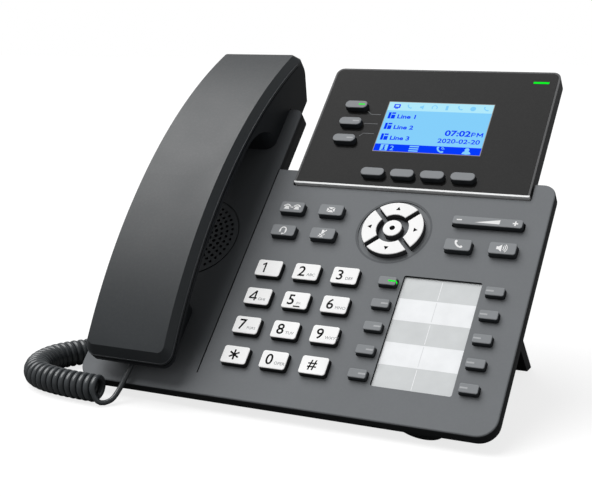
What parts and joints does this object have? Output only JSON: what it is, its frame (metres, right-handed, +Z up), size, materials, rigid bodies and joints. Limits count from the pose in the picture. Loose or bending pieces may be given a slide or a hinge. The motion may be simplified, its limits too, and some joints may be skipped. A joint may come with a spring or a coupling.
{
  "type": "desk telephone",
  "caption": "Desk IP telephone: sloping keypad panel with a display, handset resting on a cradle, curly cord, and a folding stand behind.",
  "frame": {"origin": "middle of the underside of the telephone without its cord, on the table", "axes": "+X to the user's right along the panel's width, +Y away from the user, +Z up"},
  "size_m": [0.2517, 0.167, 0.1582],
  "materials": {
    "panel": "fine matt grey",
    "dark_case": "matt near black",
    "handset_top": "satin grey",
    "display_case": "matt grey",
    "display_face": "smooth black",
    "lcd": "lit blue display",
    "board": "green lacquer",
    "mat": "soft grey",
    "speaker": "black",
    "steel": "plated",
    "feet": "soft",
    "dial_key": "white top, dark sides",
    "grey_key": "grey top",
    "display_key": "smooth dark grey",
    "plug": "clear",
    "cord": "glossy near black"
  },
  "bodies": {
    "base": {"front_housing": "panel", "rear_housing": "dark_case", "display_housing": "display_case", "display_lens": "display_face", "lcd_module": "lcd", "main_board": "board", "key_mat": "mat", "loudspeaker": "speaker", "screws": "steel", "rubber_feet": "feet", "base_plug": "plug", "curly_cord": "cord", "cord_leads": "cord"},
    "handset": {"handset_top_shell": "handset_top", "handset_bottom_shell": "dark_case", "handset_capsules": "speaker", "handset_plug": "plug"},
    "hook_switch": {"hook_switch": "dark_case"},
    "stand": {"stand": "dark_case"},
    "volume_rocker": {"volume_rocker": "grey_key"},
    "key_1": {"key_1": "dial_key"},
    "key_2": {"key_2": "dial_key"},
    "key_3": {"key_3": "dial_key"},
    "key_4": {"key_4": "dial_key"},
    "key_5": {"key_5": "dial_key"},
    "key_6": {"key_6": "dial_key"},
    "key_7": {"key_7": "dial_key"},
    "key_8": {"key_8": "dial_key"},
    "key_9": {"key_9": "dial_key"},
    "key_star": {"key_star": "dial_key"},
    "key_0": {"key_0": "dial_key"},
    "key_hash": {"key_hash": "dial_key"},
    "transfer_key": {"transfer_key": "grey_key"},
    "message_key": {"message_key": "grey_key"},
    "headset_key": {"headset_key": "grey_key"},
    "mute_key": {"mute_key": "grey_key"},
    "send_key": {"send_key": "grey_key"},
    "speaker_key": {"speaker_key": "grey_key"},
    "nav_up_key": {"nav_up_key": "dial_key"},
    "nav_left_key": {"nav_left_key": "dial_key"},
    "nav_down_key": {"nav_down_key": "dial_key"},
    "nav_right_key": {"nav_right_key": "dial_key"},
    "ok_key": {"ok_key": "dial_key"},
    "speed_dial_key_1": {"speed_dial_key_1": "grey_key"},
    "speed_dial_key_2": {"speed_dial_key_2": "grey_key"},
    "speed_dial_key_3": {"speed_dial_key_3": "grey_key"},
    "speed_dial_key_4": {"speed_dial_key_4": "grey_key"},
    "speed_dial_key_5": {"speed_dial_key_5": "grey_key"},
    "speed_dial_key_6": {"speed_dial_key_6": "grey_key"},
    "speed_dial_key_7": {"speed_dial_key_7": "grey_key"},
    "speed_dial_key_8": {"speed_dial_key_8": "grey_key"},
    "speed_dial_key_9": {"speed_dial_key_9": "grey_key"},
    "speed_dial_key_10": {"speed_dial_key_10": "grey_key"},
    "line_key_1": {"line_key_1": "display_key"},
    "line_key_2": {"line_key_2": "display_key"},
    "line_key_3": {"line_key_3": "display_key"},
    "soft_key_1": {"soft_key_1": "display_key"},
    "soft_key_2": {"soft_key_2": "display_key"},
    "soft_key_3": {"soft_key_3": "display_key"},
    "soft_key_4": {"soft_key_4": "display_key"}
  },
  "joints": [
    {"name": "handset_lift", "type": "slide", "parent": "base", "child": "handset", "axis": [0, -0.6984, 0.7157], "range_m": [0, 0.08], "deforming": ["curly_cord", "cord_leads"]},
    {"name": "hook_rise", "type": "slide", "parent": "base", "child": "hook_switch", "axis": [0, -0.6984, 0.7157], "range_m": [0, 0.002]},
    {"name": "stand_fold", "type": "hinge", "parent": "base", "child": "stand", "pos_m": [0, 0.01704, 0.04156], "axis": [-1, 0, 0], "range_deg": [0, 88]},
    {"name": "volume_rock", "type": "hinge", "parent": "base", "child": "volume_rocker", "pos_m": [0.0766, 0.0067, 0.08079], "axis": [0, 0.7157, 0.6984], "range_deg": [-3, 3], "stiffness_Nm_per_rad": 0.27},
    {"name": "key_1_press", "type": "slide", "parent": "base", "child": "key_1", "axis": [0, 0.6984, -0.7157], "range_m": [0, 0.0012], "stiffness_N_per_m": 400, "springref_m": -0.001},
    {"name": "key_2_press", "type": "slide", "parent": "base", "child": "key_2", "axis": [0, 0.6984, -0.7157], "range_m": [0, 0.0012], "stiffness_N_per_m": 400, "springref_m": -0.001},
    {"name": "key_3_press", "type": "slide", "parent": "base", "child": "key_3", "axis": [0, 0.6984, -0.7157], "range_m": [0, 0.0012], "stiffness_N_per_m": 400, "springref_m": -0.001},
    {"name": "key_4_press", "type": "slide", "parent": "base", "child": "key_4", "axis": [0, 0.6984, -0.7157], "range_m": [0, 0.0012], "stiffness_N_per_m": 400, "springref_m": -0.001},
    {"name": "key_5_press", "type": "slide", "parent": "base", "child": "key_5", "axis": [0, 0.6984, -0.7157], "range_m": [0, 0.0012], "stiffness_N_per_m": 400, "springref_m": -0.001},
    {"name": "key_6_press", "type": "slide", "parent": "base", "child": "key_6", "axis": [0, 0.6984, -0.7157], "range_m": [0, 0.0012], "stiffness_N_per_m": 400, "springref_m": -0.001},
    {"name": "key_7_press", "type": "slide", "parent": "base", "child": "key_7", "axis": [0, 0.6984, -0.7157], "range_m": [0, 0.0012], "stiffness_N_per_m": 400, "springref_m": -0.001},
    {"name": "key_8_press", "type": "slide", "parent": "base", "child": "key_8", "axis": [0, 0.6984, -0.7157], "range_m": [0, 0.0012], "stiffness_N_per_m": 400, "springref_m": -0.001},
    {"name": "key_9_press", "type": "slide", "parent": "base", "child": "key_9", "axis": [0, 0.6984, -0.7157], "range_m": [0, 0.0012], "stiffness_N_per_m": 400, "springref_m": -0.001},
    {"name": "key_star_press", "type": "slide", "parent": "base", "child": "key_star", "axis": [0, 0.6984, -0.7157], "range_m": [0, 0.0012], "stiffness_N_per_m": 400, "springref_m": -0.001},
    {"name": "key_0_press", "type": "slide", "parent": "base", "child": "key_0", "axis": [0, 0.6984, -0.7157], "range_m": [0, 0.0012], "stiffness_N_per_m": 400, "springref_m": -0.001},
    {"name": "key_hash_press", "type": "slide", "parent": "base", "child": "key_hash", "axis": [0, 0.6984, -0.7157], "range_m": [0, 0.0012], "stiffness_N_per_m": 400, "springref_m": -0.001},
    {"name": "transfer_key_press", "type": "slide", "parent": "base", "child": "transfer_key", "axis": [0, 0.6984, -0.7157], "range_m": [0, 0.0012], "stiffness_N_per_m": 400, "springref_m": -0.001},
    {"name": "message_key_press", "type": "slide", "parent": "base", "child": "message_key", "axis": [0, 0.6984, -0.7157], "range_m": [0, 0.0012], "stiffness_N_per_m": 400, "springref_m": -0.001},
    {"name": "headset_key_press", "type": "slide", "parent": "base", "child": "headset_key", "axis": [0, 0.6984, -0.7157], "range_m": [0, 0.0012], "stiffness_N_per_m": 400, "springref_m": -0.001},
    {"name": "mute_key_press", "type": "slide", "parent": "base", "child": "mute_key", "axis": [0, 0.6984, -0.7157], "range_m": [0, 0.0012], "stiffness_N_per_m": 400, "springref_m": -0.001},
    {"name": "send_key_press", "type": "slide", "parent": "base", "child": "send_key", "axis": [0, 0.6984, -0.7157], "range_m": [0, 0.0012], "stiffness_N_per_m": 400, "springref_m": -0.001},
    {"name": "speaker_key_press", "type": "slide", "parent": "base", "child": "speaker_key", "axis": [0, 0.6984, -0.7157], "range_m": [0, 0.0012], "stiffness_N_per_m": 400, "springref_m": -0.001},
    {"name": "nav_up_key_press", "type": "slide", "parent": "base", "child": "nav_up_key", "axis": [0, 0.6984, -0.7157], "range_m": [0, 0.0012], "stiffness_N_per_m": 400, "springref_m": -0.001},
    {"name": "nav_left_key_press", "type": "slide", "parent": "base", "child": "nav_left_key", "axis": [0, 0.6984, -0.7157], "range_m": [0, 0.0012], "stiffness_N_per_m": 400, "springref_m": -0.001},
    {"name": "nav_down_key_press", "type": "slide", "parent": "base", "child": "nav_down_key", "axis": [0, 0.6984, -0.7157], "range_m": [0, 0.0012], "stiffness_N_per_m": 400, "springref_m": -0.001},
    {"name": "nav_right_key_press", "type": "slide", "parent": "base", "child": "nav_right_key", "axis": [0, 0.6984, -0.7157], "range_m": [0, 0.0012], "stiffness_N_per_m": 400, "springref_m": -0.001},
    {"name": "ok_key_press", "type": "slide", "parent": "base", "child": "ok_key", "axis": [0, 0.6984, -0.7157], "range_m": [0, 0.0012], "stiffness_N_per_m": 400, "springref_m": -0.001},
    {"name": "speed_dial_key_1_press", "type": "slide", "parent": "base", "child": "speed_dial_key_1", "axis": [0, 0.6984, -0.7157], "range_m": [0, 0.0012], "stiffness_N_per_m": 400, "springref_m": -0.001},
    {"name": "speed_dial_key_2_press", "type": "slide", "parent": "base", "child": "speed_dial_key_2", "axis": [0, 0.6984, -0.7157], "range_m": [0, 0.0012], "stiffness_N_per_m": 400, "springref_m": -0.001},
    {"name": "speed_dial_key_3_press", "type": "slide", "parent": "base", "child": "speed_dial_key_3", "axis": [0, 0.6984, -0.7157], "range_m": [0, 0.0012], "stiffness_N_per_m": 400, "springref_m": -0.001},
    {"name": "speed_dial_key_4_press", "type": "slide", "parent": "base", "child": "speed_dial_key_4", "axis": [0, 0.6984, -0.7157], "range_m": [0, 0.0012], "stiffness_N_per_m": 400, "springref_m": -0.001},
    {"name": "speed_dial_key_5_press", "type": "slide", "parent": "base", "child": "speed_dial_key_5", "axis": [0, 0.6984, -0.7157], "range_m": [0, 0.0012], "stiffness_N_per_m": 400, "springref_m": -0.001},
    {"name": "speed_dial_key_6_press", "type": "slide", "parent": "base", "child": "speed_dial_key_6", "axis": [0, 0.6984, -0.7157], "range_m": [0, 0.0012], "stiffness_N_per_m": 400, "springref_m": -0.001},
    {"name": "speed_dial_key_7_press", "type": "slide", "parent": "base", "child": "speed_dial_key_7", "axis": [0, 0.6984, -0.7157], "range_m": [0, 0.0012], "stiffness_N_per_m": 400, "springref_m": -0.001},
    {"name": "speed_dial_key_8_press", "type": "slide", "parent": "base", "child": "speed_dial_key_8", "axis": [0, 0.6984, -0.7157], "range_m": [0, 0.0012], "stiffness_N_per_m": 400, "springref_m": -0.001},
    {"name": "speed_dial_key_9_press", "type": "slide", "parent": "base", "child": "speed_dial_key_9", "axis": [0, 0.6984, -0.7157], "range_m": [0, 0.0012], "stiffness_N_per_m": 400, "springref_m": -0.001},
    {"name": "speed_dial_key_10_press", "type": "slide", "parent": "base", "child": "speed_dial_key_10", "axis": [0, 0.6984, -0.7157], "range_m": [0, 0.0012], "stiffness_N_per_m": 400, "springref_m": -0.001},
    {"name": "line_key_1_press", "type": "slide", "parent": "base", "child": "line_key_1", "axis": [0, 0.6984, -0.7157], "range_m": [0, 0.0012], "stiffness_N_per_m": 400, "springref_m": -0.001},
    {"name": "line_key_2_press", "type": "slide", "parent": "base", "child": "line_key_2", "axis": [0, 0.6984, -0.7157], "range_m": [0, 0.0012], "stiffness_N_per_m": 400, "springref_m": -0.001},
    {"name": "line_key_3_press", "type": "slide", "parent": "base", "child": "line_key_3", "axis": [0, 0.6984, -0.7157], "range_m": [0, 0.0012], "stiffness_N_per_m": 400, "springref_m": -0.001},
    {"name": "soft_key_1_press", "type": "slide", "parent": "base", "child": "soft_key_1", "axis": [0, 0.6984, -0.7157], "range_m": [0, 0.0012], "stiffness_N_per_m": 400, "springref_m": -0.001},
    {"name": "soft_key_2_press", "type": "slide", "parent": "base", "child": "soft_key_2", "axis": [0, 0.6984, -0.7157], "range_m": [0, 0.0012], "stiffness_N_per_m": 400, "springref_m": -0.001},
    {"name": "soft_key_3_press", "type": "slide", "parent": "base", "child": "soft_key_3", "axis": [0, 0.6984, -0.7157], "range_m": [0, 0.0012], "stiffness_N_per_m": 400, "springref_m": -0.001},
    {"name": "soft_key_4_press", "type": "slide", "parent": "base", "child": "soft_key_4", "axis": [0, 0.6984, -0.7157], "range_m": [0, 0.0012], "stiffness_N_per_m": 400, "springref_m": -0.001}
  ],
  "couplings": [
    {"joint": "hook_rise", "follows": "handset_lift", "ratio": 0.025}
  ]
}
